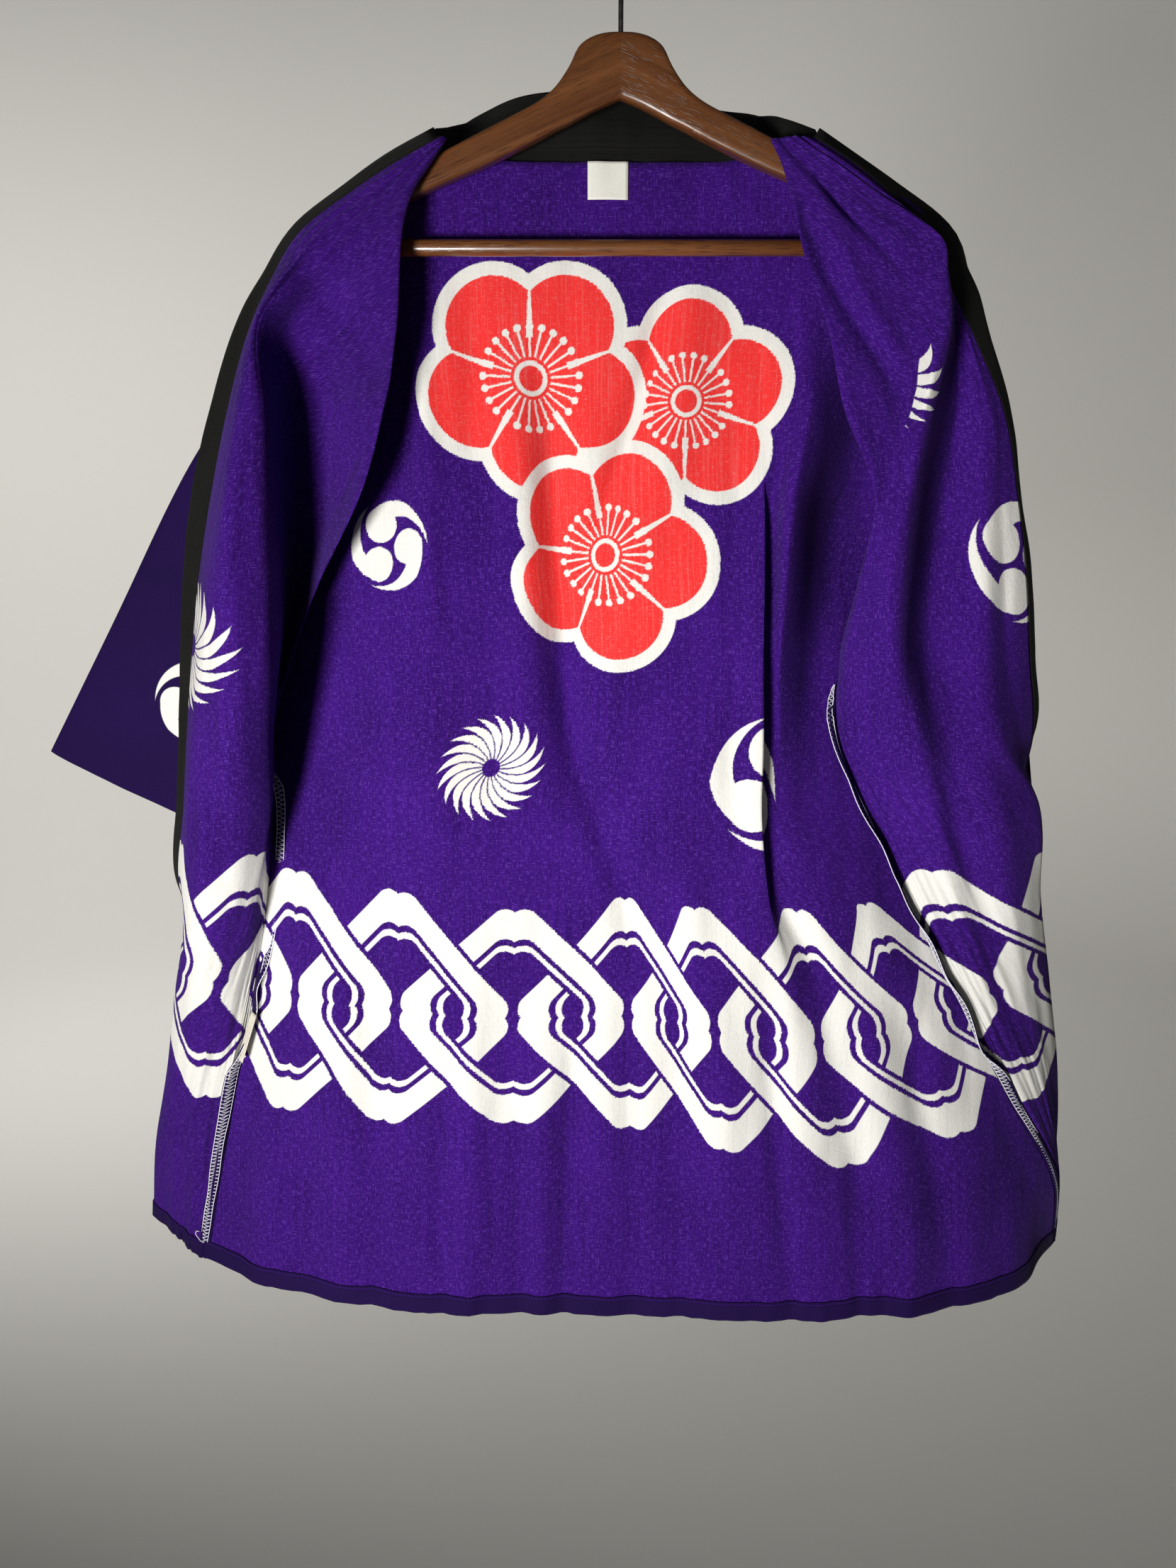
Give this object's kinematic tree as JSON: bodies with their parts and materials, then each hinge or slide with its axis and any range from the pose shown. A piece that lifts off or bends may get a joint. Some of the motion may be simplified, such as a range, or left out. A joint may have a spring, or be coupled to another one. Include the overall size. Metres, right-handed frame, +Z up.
{
  "type": "happi coat on a clothes hanger",
  "caption": "Hip-length cotton happi coat with wide sleeves and a collar band, hung wide open on a wooden hanger with a trouser bar, its inside to the front.",
  "frame": {"origin": "the seat of the hanger's hook: the lowest point of the wire's inner side at the top of its loop, where a rail carries it", "axes": "+Z up, the open fronts and the inside of the coat face -Y, the hanger's arms lie along X"},
  "size_m": [0.7405, 0.1985, 0.8883],
  "materials": {
    "purple_cotton": "plain woven cotton, matt",
    "black_cotton": "plain woven cotton, doubled, matt",
    "label_tape": "woven tape, bare",
    "varnished_wood": "stained reddish brown, satin varnish",
    "dark_wire": "dark plated wire, satin"
  },
  "bodies": {
    "root": {"back": "purple_cotton", "front_left": "purple_cotton", "front_right": "purple_cotton", "sleeve_left": "purple_cotton", "sleeve_right": "purple_cotton", "band_left": "black_cotton", "band_neck": "black_cotton", "band_right": "black_cotton", "neck_label": "label_tape", "care_label": "label_tape", "hanger_arms": "varnished_wood", "hanger_bar": "varnished_wood", "hook": "dark_wire"}
  },
  "joints": []
}
